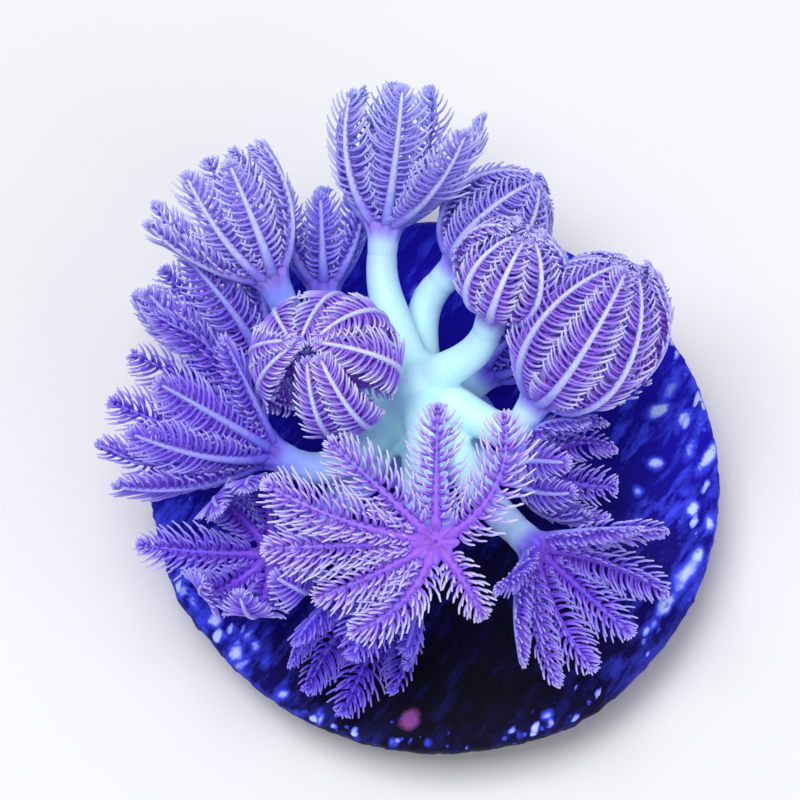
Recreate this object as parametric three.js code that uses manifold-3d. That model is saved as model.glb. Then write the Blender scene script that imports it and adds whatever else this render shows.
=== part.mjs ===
// Pulsing xenia soft coral grown on a round ceramic disc.
// Millimetres, +Z up, origin at the middle of the disc's flat underside.
// +Y points away from the front of the colony and +X to its right.
import * as THREE from 'three';
import { mergeVertices } from 'three/addons/utils/BufferGeometryUtils.js';
import Module from 'manifold-3d';

const wasm = await Module();
wasm.setup();

// Driving dimensions
const DISC_RADIUS = 16;
const DISC_THICKNESS = 5;
const DISC_DRAFT = 1.8;
const RIM_CHAMFER = 0.45;
const TRUNK_RADIUS = 2.3;
const FOOT_RADIUS = 4.6;
const HUB_RISE = 1.9;
const STEM_ROOT_RADIUS = 1.2;
const STEM_TOP_RADIUS = 0.85;
const CALYX_RADIUS = 1.15;
const CALYX_HEIGHT = 1.7;
const RIDGE_HEIGHT = 0.32;
const ARM_SPREAD = 0.22;
const STUB_LENGTH = 3.6;
const SHORTEST_STEM = 1.2;
const GAP = 0.3;

// Counts of sides and steps
const DISC_SIDES = 40;
const TRUNK_SIDES = 12;
const STEM_SIDES = 7;
const STEM_STEPS = 4;
const STUB_STEPS = 1;
const ARMS = 8;
const ARM_STATIONS = 5;
const SMALL_CROWN_ARM = 6;
const STEPS_PER_STATION = 4;

// How far a crown's like arms differ, in degrees, and how fast that changes from arm to arm
const UNEVEN_ROLL = 4;
const UNEVEN_END = 7;
const UNEVEN_SWEEP = 12;
const ROLL_PACE = 2.4;
const END_PACE = 1.9;
const SWEEP_PACE = 1.3;

// The middle line of the trunk and the heights at which its branches part
const TRUNK_AXIS = new THREE.Vector2(-1.2, 3.4);
const UPPER_FORK = 11;
const LOWER_FORK = 8.6;

const UP = new THREE.Vector3(0, 0, 1);
const BACK = new THREE.Vector3(0, 1, 0);
const { degToRad, lerp, smoothstep } = THREE.MathUtils;

// Eight like arms round a crown: roll turns them about its axis, start and end are the angles
// between an arm and the axis at its foot and tip, and changes names the arms that differ.
function ring(roll, start, end, length, changes = {}) {
  return Array.from({ length: ARMS }, (_, k) => ({
    roll: roll + (360 / ARMS) * k + UNEVEN_ROLL * Math.sin(ROLL_PACE * k + roll),
    start,
    end: end + UNEVEN_END * Math.sin(END_PACE * k + roll),
    length,
    sweep: UNEVEN_SWEEP * Math.sin(SWEEP_PACE * k + roll),
    ...changes[k],
  }));
}

// Each polyp: the middle of its mouth, the way it faces in degrees, its fork and its arms.
const POLYPS = [
  {
    name: 'flower', at: [-0.3, -8.1, 18], azimuth: -95, elevation: 76, fork: UPPER_FORK,
    arms: ring(0, 80, 115, 8, {
      0: { roll: -1, start: 72, end: 125, length: 6.7, sweep: 0 },
      1: { roll: 46, start: 75, end: 112, length: 7, sweep: 0 },
      2: { roll: 81, start: 80, end: 98, length: 8.8, sweep: -22 },
      3: { roll: 92, start: 88, end: 112, length: 8.4, sweep: -2 },
      4: { roll: 120, start: 84, end: 132, length: 6.6, sweep: -16 },
      5: { roll: 160, start: 84, end: 125, length: 6.2, sweep: -56 },
      6: { roll: 216, start: 82, end: 155, length: 4.4, sweep: -10 },
      7: { roll: -62, start: 72, end: 108, length: 7.6, sweep: 74 },
    }),
  },
  {
    name: 'crest', at: [-5.2, 2.8, 13.4], azimuth: 188, elevation: 71, fork: UPPER_FORK,
    arms: ring(28, 86, -86, 10.4, { 4: { roll: 190 }, 5: { roll: 262, length: 9.8 } }),
  },
  {
    name: 'right', at: [5.6, 2.2, 13.2], azimuth: 49, elevation: 42, fork: UPPER_FORK,
    arms: ring(22, 72, -66, 12.2, {
      5: { start: 60, end: -62, length: 11.5 },
      6: { start: 62, end: -64, length: 11.5 },
      7: { start: 68 },
    }),
  },
  {
    name: 'knob', at: [3.1, 6.1, 16.5], azimuth: 62, elevation: 52, fork: UPPER_FORK,
    arms: ring(10, 80, -80, 7.2),
  },
  {
    name: 'north_east', at: [1.2, 10.6, 11.9], azimuth: 38, elevation: 34, fork: LOWER_FORK,
    arms: ring(0, 70, -76, 8.6),
  },
  {
    name: 'rear', at: [-3.1, 12.4, 13.5], azimuth: 85, elevation: 25, fork: UPPER_FORK,
    arms: ring(8, 50, -20, 8.2, {
      0: { roll: 8, start: 42, end: 0, length: 8.2, sweep: 0 },
      1: { roll: 34, start: 72, end: 30, length: 8.8, sweep: 0 },
      2: { roll: 88, start: 64, end: 5, length: 7.8 },
      5: { roll: -135, start: 48, end: -60, length: 8.4 },
      6: { roll: -95, start: 52, end: -35, length: 8 },
      7: { roll: -44, start: 52, end: -12, length: 7.8, sweep: 0 },
    }),
  },
  {
    name: 'north_west', at: [-9.6, 9.2, 13.9], azimuth: 119, elevation: 30, fork: UPPER_FORK,
    arms: ring(0, 48, -20, 7.2, {
      0: { start: 36, end: 10, length: 7.6 },
      1: { roll: 52, start: 50, end: -15, length: 7.6 },
      5: { roll: -125, start: 56, end: 10, length: 7 },
      6: { roll: -80, start: 56, end: 20, length: 7.2 },
      7: { roll: -42, start: 38, end: 0, length: 7.8 },
    }),
  },
  {
    name: 'west', at: [-9.8, -1, 13], azimuth: 161, elevation: 22, fork: LOWER_FORK,
    arms: ring(0, 46, 0, 8.9, {
      0: { roll: -8, start: 30, end: 20, length: 8.6 },
      1: { roll: 32, start: 42, end: 42, length: 7.2, sweep: 0 },
      2: { roll: 100, start: 52, end: 0, length: 9.4 },
      6: { roll: -85, start: 52, end: 18, length: 8.8 },
    }),
  },
  {
    name: 'south_west', at: [-9.3, -6.6, 11.5], azimuth: -140, elevation: 70, fork: LOWER_FORK,
    arms: ring(0, 86, -45, 7, { 3: { start: 80, end: 60, length: 6.4 } }),
  },
  {
    name: 'south_east', at: [5.4, -6.6, 12], azimuth: -48, elevation: 12, fork: LOWER_FORK,
    arms: ring(0, 60, 18, 6.8, {
      0: { roll: 46, start: 58, end: 80, length: 5, sweep: 0 },
      1: { roll: 84, start: 58, end: 30, length: 6.4, sweep: 0 },
      2: { roll: 122, start: 50, end: 22, sweep: 0 },
      3: { roll: 160, start: 58, sweep: 0 },
      4: { roll: 196, sweep: 0 },
      5: { roll: 230, end: 22, length: 7, sweep: 0 },
      6: { roll: 268, start: 62, end: 42, length: 6.2, sweep: 0 },
      7: { roll: 308, start: 48, end: 40, length: 5.8, sweep: 0 },
    }),
  },
  {
    name: 'south', at: [-2.5, -7.8, 9.8], azimuth: -112, elevation: 8, fork: LOWER_FORK,
    arms: ring(0, 48, 0, 7.4, { 5: { length: 5.6 }, 6: { length: 4.8 }, 7: { length: 5 } }),
  },
  {
    name: 'east', at: [4.7, -0.9, 9.6], azimuth: -14, elevation: 28, fork: LOWER_FORK,
    arms: ring(8, 64, -16, 5.2),
  },
  {
    name: 'under_west', at: [-10.6, 6.2, 9.1], azimuth: 135, elevation: 20, fork: LOWER_FORK,
    arms: ring(0, 52, -10, 7.4),
  },
  {
    name: 'back_bud', at: [-6.6, 10.6, 9.4], azimuth: 92, elevation: 26, fork: LOWER_FORK,
    arms: ring(0, 45, 0, 5.2),
  },
  {
    name: 'bud', at: [3, 5.7, 8], azimuth: 40, elevation: 20, fork: LOWER_FORK,
    arms: ring(0, 60, -60, 3.6),
  },
];

// Closed body through rings of points that all have the same number of sides, end to end.
function loft(rings) {
  const sides = rings[0].length;
  const positions = rings.flat().flatMap((point) => point.toArray());
  const faces = [];
  for (let level = 0; level < rings.length - 1; level += 1) {
    for (let side = 0; side < sides; side += 1) {
      const near = level * sides + side;
      const next = level * sides + ((side + 1) % sides);
      faces.push(near, next, next + sides, near, next + sides, near + sides);
    }
  }
  const top = (rings.length - 1) * sides;
  for (let side = 1; side < sides - 1; side += 1) {
    faces.push(0, side + 1, side, top, top + side, top + side + 1);
  }
  const geometry = new THREE.BufferGeometry();
  geometry.setAttribute('position', new THREE.Float32BufferAttribute(positions, 3));
  geometry.setIndex(faces);
  return geometry;
}

// A closed geometry as a solid that can be joined and cut
function toSolid(geometry) {
  const bare = geometry.clone();
  bare.deleteAttribute('normal');
  bare.deleteAttribute('uv');
  const merged = mergeVertices(bare);
  return new wasm.Manifold(new wasm.Mesh({
    numProp: 3,
    vertProperties: Float32Array.from(merged.attributes.position.array),
    triVerts: Uint32Array.from(merged.index.array),
  }));
}

// The largest body of a solid, so that a crumb left by a cut goes
function largestBody(solid) {
  const bodies = solid.decompose();
  return bodies.reduce((best, body) => (body.volume() > best.volume() ? body : best));
}

function toMesh(name, solid, material) {
  const { vertProperties, triVerts, numProp } = solid.getMesh();
  const geometry = new THREE.BufferGeometry();
  const buffer = new THREE.InterleavedBuffer(vertProperties, numProp);
  const positions = new Float32Array(3 * buffer.count);
  const vertex = new THREE.Vector3();
  const source = new THREE.InterleavedBufferAttribute(buffer, 3, 0);
  for (let i = 0; i < buffer.count; i += 1) {
    vertex.fromBufferAttribute(source, i).toArray(positions, 3 * i);
  }
  geometry.setAttribute('position', new THREE.BufferAttribute(positions, 3));
  geometry.setIndex(Array.from(triVerts));
  geometry.computeVertexNormals();
  const mesh = new THREE.Mesh(geometry, material);
  mesh.name = name;
  return mesh;
}

// The axis of a crown with the two directions across it: upper side and right-hand side
function crownFrame(polyp) {
  const azimuth = degToRad(polyp.azimuth);
  const elevation = degToRad(polyp.elevation);
  const axis = new THREE.Vector3(
    Math.cos(azimuth) * Math.cos(elevation),
    Math.sin(azimuth) * Math.cos(elevation),
    Math.sin(elevation),
  );
  const reference = Math.abs(axis.z) < 0.95 ? UP : BACK;
  const upper = reference.clone().addScaledVector(axis, -axis.dot(reference)).normalize();
  const right = new THREE.Vector3().crossVectors(axis, upper);
  return { centre: new THREE.Vector3(...polyp.at), axis, upper, right };
}

// Places along one arm, from its foot on the rim of the mouth to its tip. Each has a point,
// the way along the arm, the way out of the back of the arm and the way across it.
const ARM_FOOT_RADIUS = 0.9;
function armStations(frame, arm, count) {
  const steps = count * STEPS_PER_STATION;
  const place = (share) => {
    const turn = degToRad(arm.roll + arm.sweep * share);
    const lean = degToRad(lerp(arm.start, arm.end, share));
    const out = frame.upper.clone().multiplyScalar(Math.cos(turn))
      .addScaledVector(frame.right, Math.sin(turn));
    return {
      out,
      across: new THREE.Vector3().crossVectors(frame.axis, out),
      along: frame.axis.clone().multiplyScalar(Math.cos(lean)).addScaledVector(out, Math.sin(lean)),
      back: out.clone().multiplyScalar(Math.cos(lean)).addScaledVector(frame.axis, -Math.sin(lean)),
    };
  };
  const point = frame.centre.clone().addScaledVector(place(0).out, ARM_FOOT_RADIUS);
  const stations = [{ ...place(0), point: point.clone(), share: 0 }];
  for (let step = 1; step <= steps; step += 1) {
    point.addScaledVector(place((step - 0.5) / steps).along, arm.length / steps);
    if (step % STEPS_PER_STATION === 0) {
      stations.push({ ...place(step / steps), point: point.clone(), share: step / steps });
    }
  }
  return stations;
}

// Half the width of an arm with its fringe: narrow foot, broad middle, blunt tip
const FOOT_HALF_WIDTH = 0.24;
const TIP_SHARE = 0.3;
const ROOM_BETWEEN_ARMS = 0.44;
function armHalfWidth(share, length) {
  const rise = lerp(FOOT_HALF_WIDTH, ARM_SPREAD * length, smoothstep(share, 0, 0.42));
  return rise * lerp(1, TIP_SHARE, smoothstep(share, 0.55, 1.05));
}

// One arm as a leaf with a ridge along its back and edges that droop to its front
const EDGE_DROOP = 0.2;
const EDGE_SINK = 0.12;
const FOOT_SINK = 0.3;
function armSolid(stations, neighbours, length, extra) {
  const rings = stations.map(({ point, across, back, along, share }, index) => {
    const room = Math.min(...neighbours.map((other) => other[index].point.distanceTo(point)));
    const half = Math.min(armHalfWidth(share, length), ROOM_BETWEEN_ARMS * room);
    const isEnd = index === 0 || index === stations.length - 1;
    const push = isEnd ? Math.sign(index - 0.5) * (index === 0 ? FOOT_SINK : extra) : 0;
    const centre = point.clone().addScaledVector(along, push);
    const edge = (side) => centre.clone().addScaledVector(across, side * (half + extra))
      .addScaledVector(back, -EDGE_DROOP * half - EDGE_SINK - extra);
    const ridge = centre.clone().addScaledVector(back, RIDGE_HEIGHT + extra);
    return [ridge, edge(1), edge(-1)];
  });
  return toSolid(loft(rings));
}

// A round body of revolution along an axis, from pairs of a distance and a radius
function turned(origin, axis, upper, right, profile, sides, roll = 0) {
  const rings = profile.map(([height, radius]) => Array.from({ length: sides }, (_, side) => {
    const angle = roll + (2 * Math.PI * side) / sides;
    return origin.clone().addScaledVector(axis, height)
      .addScaledVector(upper, radius * Math.cos(angle))
      .addScaledVector(right, radius * Math.sin(angle));
  }));
  return toSolid(loft(rings));
}

// A crown: the flared cup at the top of a stem with its eight arms
function crownSolid(polyp, extra = 0) {
  const frame = crownFrame(polyp);
  const longest = Math.max(...polyp.arms.map((arm) => arm.length));
  const count = longest < SMALL_CROWN_ARM ? ARM_STATIONS - 1 : ARM_STATIONS;
  const arms = polyp.arms.map((arm) => armStations(frame, arm, count));
  const profile = [
    [-CALYX_HEIGHT - extra, STEM_TOP_RADIUS + extra],
    [-0.1, CALYX_RADIUS + extra],
    [0.3 + extra, 0.5 * CALYX_RADIUS],
  ];
  const roll = degToRad(polyp.arms[0].roll) + Math.PI / ARMS;
  const cup = turned(frame.centre, frame.axis, frame.upper, frame.right, profile, ARMS, roll);
  return arms.reduce((crown, stations, k) => {
    const neighbours = [arms[(k + 1) % ARMS], arms[(k + ARMS - 1) % ARMS]];
    return crown.add(armSolid(stations, neighbours, polyp.arms[k].length, extra));
  }, cup);
}

// The middle line of a stem, from the trunk's axis to the underside of its cup
const STEM_BEND = 0.34;
const ROOT_RISE = 0.25;
function stemCurve(polyp) {
  const { centre, axis } = crownFrame(polyp);
  const root = new THREE.Vector3(TRUNK_AXIS.x, TRUNK_AXIS.y, polyp.fork);
  const top = centre.clone().addScaledVector(axis, -CALYX_HEIGHT - GAP);
  const reach = root.distanceTo(top) * STEM_BEND;
  const leave = top.clone().sub(root).normalize().addScaledVector(UP, ROOT_RISE).normalize();
  return new THREE.CubicBezierCurve3(
    root,
    root.clone().addScaledVector(leave, reach),
    top.clone().addScaledVector(axis, -reach),
    top,
  );
}

// A round tube along a stretch of a stem, given in millimetres from the trunk's axis
function stemStretch(curve, from, to, steps, extra) {
  const length = curve.getLength();
  const rings = [];
  const side = new THREE.Vector3().crossVectors(curve.getTangentAt(from / length), UP);
  for (let step = 0; step <= steps; step += 1) {
    const share = lerp(from, to, step / steps) / length;
    const tangent = curve.getTangentAt(share);
    side.addScaledVector(tangent, -side.dot(tangent)).normalize();
    const over = new THREE.Vector3().crossVectors(tangent, side);
    const centre = curve.getPointAt(share);
    const radius = lerp(STEM_ROOT_RADIUS, STEM_TOP_RADIUS, share) + extra;
    rings.push(Array.from({ length: STEM_SIDES }, (_, corner) => {
      const angle = (2 * Math.PI * corner) / STEM_SIDES;
      return centre.clone().addScaledVector(side, radius * Math.cos(angle))
        .addScaledVector(over, radius * Math.sin(angle));
    }));
  }
  return toSolid(loft(rings));
}

// How far the trunk's own branch runs: all the way where only a crumb of stem would be left
function stubLength(curve) {
  const length = curve.getLength();
  return length < STUB_LENGTH + SHORTEST_STEM ? length : STUB_LENGTH;
}

function hasStem(polyp) {
  const curve = stemCurve(polyp);
  return stubLength(curve) < curve.getLength();
}

function stemSolid(polyp, extra = 0) {
  const curve = stemCurve(polyp);
  return stemStretch(curve, stubLength(curve) + GAP, curve.getLength(), STEM_STEPS, extra);
}

function stubSolid(polyp, extra) {
  const curve = stemCurve(polyp);
  return stemStretch(curve, 0, stubLength(curve), STUB_STEPS, extra);
}

// The trunk spreads over the disc at its foot and ends in a dome, with a stub for each branch.
function trunkSolid(extra = 0) {
  const origin = new THREE.Vector3(TRUNK_AXIS.x, TRUNK_AXIS.y, DISC_THICKNESS);
  const dome = UPPER_FORK + HUB_RISE - DISC_THICKNESS;
  const profile = [
    [0, FOOT_RADIUS],
    [0.5, FOOT_RADIUS - 0.5],
    [1.4, TRUNK_RADIUS + 0.5],
    [3.2, TRUNK_RADIUS],
    [dome - 1.8, TRUNK_RADIUS],
    [dome - 0.7, 0.8 * TRUNK_RADIUS],
    [dome, 0.35 * TRUNK_RADIUS],
  ];
  const right = new THREE.Vector3(1, 0, 0);
  const column = turned(
    origin, UP, right, BACK, profile.map(([height, radius]) => [height, radius + extra]), TRUNK_SIDES,
  );
  return POLYPS.reduce((trunk, polyp) => trunk.add(stubSolid(polyp, extra)), column);
}

// The disc narrows a little to its underside, with both edges eased and a few crusts on its rim.
const RIM_CRUSTS = [
  { angle: 178, width: 16, height: 0.55 },
  { angle: 204, width: 9, height: 0.35 },
  { angle: 150, width: 8, height: 0.3 },
  { angle: -62, width: 10, height: 0.25 },
];
function discRadius(angle) {
  const bumps = RIM_CRUSTS.map((crust) => {
    const away = THREE.MathUtils.euclideanModulo(angle - crust.angle + 180, 360) - 180;
    return crust.height * Math.exp(-((away / crust.width) ** 2));
  });
  return DISC_RADIUS + bumps.reduce((sum, bump) => sum + bump, 0);
}

function discSolid() {
  const levels = [
    [0, -DISC_DRAFT - RIM_CHAMFER],
    [RIM_CHAMFER, -DISC_DRAFT],
    [0.7 * DISC_THICKNESS, -0.15 * DISC_DRAFT],
    [DISC_THICKNESS - RIM_CHAMFER, 0],
    [DISC_THICKNESS, -RIM_CHAMFER],
  ];
  const rings = levels.map(([height, inset]) => Array.from({ length: DISC_SIDES }, (_, side) => {
    const degrees = (360 * side) / DISC_SIDES;
    const radius = discRadius(degrees) + inset;
    const angle = degToRad(degrees);
    return new THREE.Vector3(radius * Math.cos(angle), radius * Math.sin(angle), height);
  }));
  return toSolid(loft(rings));
}

// Materials: deep blue glaze, pale cyan flesh and lavender fringes
function finish(color, roughness) {
  return new THREE.MeshStandardMaterial({ color, roughness, metalness: 0 });
}
const DISC_FINISH = finish(0x141a4a, 0.6);
const FLESH_FINISH = finish(0xa9d4ea, 0.45);
const CROWN_FINISH = finish(0x9a86cf, 0.5);

// Each crown and stem is cut clear of the pieces made before it.
const group = new THREE.Group();
const keepClear = [trunkSolid(GAP)];
const addPiece = (name, solid, fat, material) => {
  const clear = keepClear.reduce((rest, other) => rest.subtract(other), solid);
  group.add(toMesh(name, largestBody(clear), material));
  keepClear.push(fat);
};

group.add(toMesh('frag_disc', discSolid(), DISC_FINISH));
group.add(toMesh('trunk', trunkSolid(), FLESH_FINISH));
for (const polyp of POLYPS.filter(hasStem)) {
  addPiece(`stem_${polyp.name}`, stemSolid(polyp), stemSolid(polyp, GAP), FLESH_FINISH);
}
for (const polyp of POLYPS) {
  addPiece(`crown_${polyp.name}`, crownSolid(polyp), crownSolid(polyp, GAP), CROWN_FINISH);
}

export default group;
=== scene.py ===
import math

import bpy
import numpy as np
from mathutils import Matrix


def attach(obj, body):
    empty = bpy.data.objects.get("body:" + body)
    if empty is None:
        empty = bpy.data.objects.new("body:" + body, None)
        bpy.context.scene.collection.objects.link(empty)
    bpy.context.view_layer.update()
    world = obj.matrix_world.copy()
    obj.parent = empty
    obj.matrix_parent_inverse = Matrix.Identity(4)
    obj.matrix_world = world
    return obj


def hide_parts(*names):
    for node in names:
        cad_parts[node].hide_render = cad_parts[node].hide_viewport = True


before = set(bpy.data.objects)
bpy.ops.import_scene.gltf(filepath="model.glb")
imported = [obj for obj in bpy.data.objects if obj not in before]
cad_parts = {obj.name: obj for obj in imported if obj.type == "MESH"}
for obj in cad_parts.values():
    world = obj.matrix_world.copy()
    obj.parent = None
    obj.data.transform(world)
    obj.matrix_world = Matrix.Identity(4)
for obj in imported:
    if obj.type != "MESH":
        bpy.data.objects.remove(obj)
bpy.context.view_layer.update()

MM = 0.001

# Driving sizes in millimetres, as in the model's source
DISC_RADIUS = 16.0
DISC_THICKNESS = 5.0
DISC_DRAFT = 1.8
TRUNK_RADIUS = 2.3
FOOT_RADIUS = 4.6
HUB_RISE = 1.9
STEM_ROOT_RADIUS = 1.2
STEM_TOP_RADIUS = 0.85
CALYX_RADIUS = 1.15
CALYX_HEIGHT = 1.7
ARM_FOOT_RADIUS = 0.9
ARMS = 8
TRUNK_AXIS = (-1.2, 3.4)
UPPER_FORK = 11.0
LOWER_FORK = 8.6

# How far a crown's like arms differ, in degrees, and how fast that changes from arm to arm
UNEVEN_ROLL = 4
UNEVEN_END = 7
UNEVEN_SWEEP = 12
ROLL_PACE = 2.4
END_PACE = 1.9
SWEEP_PACE = 1.3


def ring(roll, start, end, length, changes=None):
    """Eight like arms round a crown, and the arms that differ by their number."""
    arms = []
    for k in range(ARMS):
        arm = dict(
            roll=roll + 360 / ARMS * k + UNEVEN_ROLL * math.sin(ROLL_PACE * k + roll),
            start=start,
            end=end + UNEVEN_END * math.sin(END_PACE * k + roll),
            length=length,
            sweep=UNEVEN_SWEEP * math.sin(SWEEP_PACE * k + roll),
        )
        arm.update((changes or {}).get(k, {}))
        arms.append(arm)
    return arms


# Each polyp: the middle of its mouth, the azimuth and elevation it faces, its fork and its arms.
POLYPS = {
    "flower": dict(at=(-0.3, -8.1, 18), faces=(-95, 76), fork=UPPER_FORK, arms=ring(0, 80, 115, 8, {
        0: dict(roll=-1, start=72, end=125, length=6.7, sweep=0),
        1: dict(roll=46, start=75, end=112, length=7, sweep=0),
        2: dict(roll=81, start=80, end=98, length=8.8, sweep=-22),
        3: dict(roll=92, start=88, end=112, length=8.4, sweep=-2),
        4: dict(roll=120, start=84, end=132, length=6.6, sweep=-16),
        5: dict(roll=160, start=84, end=125, length=6.2, sweep=-56),
        6: dict(roll=216, start=82, end=155, length=4.4, sweep=-10),
        7: dict(roll=-62, start=72, end=108, length=7.6, sweep=74),
    })),
    "crest": dict(at=(-5.2, 2.8, 13.4), faces=(188, 71), fork=UPPER_FORK,
                  arms=ring(28, 86, -86, 10.4, {
        4: dict(roll=190),
        5: dict(roll=262, length=9.8),
    })),
    "right": dict(at=(5.6, 2.2, 13.2), faces=(49, 42), fork=UPPER_FORK, arms=ring(22, 72, -66, 12.2, {
        5: dict(start=60, end=-62, length=11.5),
        6: dict(start=62, end=-64, length=11.5),
        7: dict(start=68),
    })),
    "knob": dict(at=(3.1, 6.1, 16.5), faces=(62, 52), fork=UPPER_FORK, arms=ring(10, 80, -80, 7.2)),
    "north_east": dict(at=(1.2, 10.6, 11.9), faces=(38, 34), fork=LOWER_FORK,
                       arms=ring(0, 70, -76, 8.6)),
    "rear": dict(at=(-3.1, 12.4, 13.5), faces=(85, 25), fork=UPPER_FORK, arms=ring(8, 50, -20, 8.2, {
        0: dict(roll=8, start=42, end=0, length=8.2, sweep=0),
        1: dict(roll=34, start=72, end=30, length=8.8, sweep=0),
        2: dict(roll=88, start=64, end=5, length=7.8),
        5: dict(roll=-135, start=48, end=-60, length=8.4),
        6: dict(roll=-95, start=52, end=-35, length=8),
        7: dict(roll=-44, start=52, end=-12, length=7.8, sweep=0),
    })),
    "north_west": dict(at=(-9.6, 9.2, 13.9), faces=(119, 30), fork=UPPER_FORK,
                       arms=ring(0, 48, -20, 7.2, {
        0: dict(start=36, end=10, length=7.6),
        1: dict(roll=52, start=50, end=-15, length=7.6),
        5: dict(roll=-125, start=56, end=10, length=7),
        6: dict(roll=-80, start=56, end=20, length=7.2),
        7: dict(roll=-42, start=38, end=0, length=7.8),
    })),
    "west": dict(at=(-9.8, -1, 13), faces=(161, 22), fork=LOWER_FORK, arms=ring(0, 46, 0, 8.9, {
        0: dict(roll=-8, start=30, end=20, length=8.6),
        1: dict(roll=32, start=42, end=42, length=7.2, sweep=0),
        2: dict(roll=100, start=52, end=0, length=9.4),
        6: dict(roll=-85, start=52, end=18, length=8.8),
    })),
    "south_west": dict(at=(-9.3, -6.6, 11.5), faces=(-140, 70), fork=LOWER_FORK,
                       arms=ring(0, 86, -45, 7, {3: dict(start=80, end=60, length=6.4)})),
    "south_east": dict(at=(5.4, -6.6, 12), faces=(-48, 12), fork=LOWER_FORK, arms=ring(0, 60, 18, 6.8, {
        0: dict(roll=46, start=58, end=80, length=5, sweep=0),
        1: dict(roll=84, start=58, end=30, length=6.4, sweep=0),
        2: dict(roll=122, start=50, end=22, sweep=0),
        3: dict(roll=160, start=58, sweep=0),
        4: dict(roll=196, sweep=0),
        5: dict(roll=230, end=22, length=7, sweep=0),
        6: dict(roll=268, start=62, end=42, length=6.2, sweep=0),
        7: dict(roll=308, start=48, end=40, length=5.8, sweep=0),
    })),
    "south": dict(at=(-2.5, -7.8, 9.8), faces=(-112, 8), fork=LOWER_FORK, arms=ring(0, 48, 0, 7.4, {
        5: dict(length=5.6),
        6: dict(length=4.8),
        7: dict(length=5),
    })),
    "east": dict(at=(4.7, -0.9, 9.6), faces=(-14, 28), fork=LOWER_FORK, arms=ring(8, 64, -16, 5.2)),
    "under_west": dict(at=(-10.6, 6.2, 9.1), faces=(135, 20), fork=LOWER_FORK,
                       arms=ring(0, 52, -10, 7.4)),
    "back_bud": dict(at=(-6.6, 10.6, 9.4), faces=(92, 26), fork=LOWER_FORK,
                     arms=ring(0, 45, 0, 5.2)),
    "bud": dict(at=(3, 5.7, 8), faces=(40, 20), fork=LOWER_FORK, arms=ring(0, 60, -60, 3.6)),
}

UP = np.array([0.0, 0.0, 1.0])
BACK = np.array([0.0, 1.0, 0.0])


def unit(vector):
    """Vectors along the last axis, made one long."""
    vector = np.asarray(vector, float)
    return vector / np.linalg.norm(vector, axis=-1, keepdims=True)


def smoothstep(value, low, high):
    share = np.clip((value - low) / (high - low), 0, 1)
    return share * share * (3 - 2 * share)


# Camera at the photograph's viewing angle

PHOTO_SIDE = 800
PIXELS_PER_MM = 17.44
CAMERA_DISTANCE = 300.0
CAMERA_ELEVATION = math.radians(70)
CAMERA_TARGET = np.array([-2.24, 4.82, DISC_THICKNESS])
SENSOR_WIDTH = 36.0


def add_camera():
    """Looks along +Y and down, so that the picture's up is the colony's back."""
    data = bpy.data.cameras.new("camera")
    data.sensor_width = SENSOR_WIDTH
    data.lens = SENSOR_WIDTH * CAMERA_DISTANCE * PIXELS_PER_MM / PHOTO_SIDE
    data.clip_start = 0.01
    camera = bpy.data.objects.new("camera", data)
    away = np.array([0, -math.cos(CAMERA_ELEVATION), math.sin(CAMERA_ELEVATION)])
    camera.location = (CAMERA_TARGET + away * CAMERA_DISTANCE) * MM
    camera.rotation_euler = (math.pi / 2 - CAMERA_ELEVATION, 0, 0)
    bpy.context.collection.objects.link(camera)
    bpy.context.scene.camera = camera


# Mesh building

class MeshBuilder:
    """Gathers vertices, faces and named values per vertex, and makes one smooth object of them."""

    def __init__(self, *values):
        self.names = values
        self.vertices = []
        self.faces = {3: [], 4: []}
        self.values = {name: [] for name in values}
        self.fixed = {}
        self.count = 0

    def add(self, vertices, faces, **values):
        """vertices (n, 3) in millimetres, faces as arrays of 3 or 4 corners."""
        vertices = np.asarray(vertices, float).reshape(-1, 3)
        for corners in faces:
            corners = np.asarray(corners, int)
            self.faces[corners.shape[1]].append(corners + self.count)
        self.vertices.append(vertices)
        for name in self.names:
            value = np.asarray(values.get(name, self.fixed.get(name, 0.0)), float)
            value = np.broadcast_to(value, (len(vertices),))
            self.values[name].append(value)
        self.count += len(vertices)

    def build(self, name, material):
        mesh = bpy.data.meshes.new(name)
        vertices = np.concatenate(self.vertices) * MM
        blocks = [np.concatenate(parts) for parts in self.faces.values() if parts]
        corners = np.concatenate([block.ravel() for block in blocks])
        sizes = np.concatenate([np.full(len(block), block.shape[1]) for block in blocks])
        mesh.vertices.add(len(vertices))
        mesh.vertices.foreach_set("co", vertices.astype(np.float32).ravel())
        mesh.loops.add(len(corners))
        mesh.loops.foreach_set("vertex_index", corners.astype(np.int32))
        mesh.polygons.add(len(sizes))
        starts = np.concatenate([[0], np.cumsum(sizes)[:-1]])
        mesh.polygons.foreach_set("loop_start", starts.astype(np.int32))
        mesh.polygons.foreach_set("use_smooth", np.ones(len(sizes), bool))
        mesh.update(calc_edges=True)
        mesh.validate()
        for key in self.names:
            layer = mesh.attributes.new(key, "FLOAT", "POINT")
            layer.data.foreach_set("value", np.concatenate(self.values[key]).astype(np.float32))
        mesh.materials.append(material)
        piece = bpy.data.objects.new(name, mesh)
        bpy.context.collection.objects.link(piece)
        return piece


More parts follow.
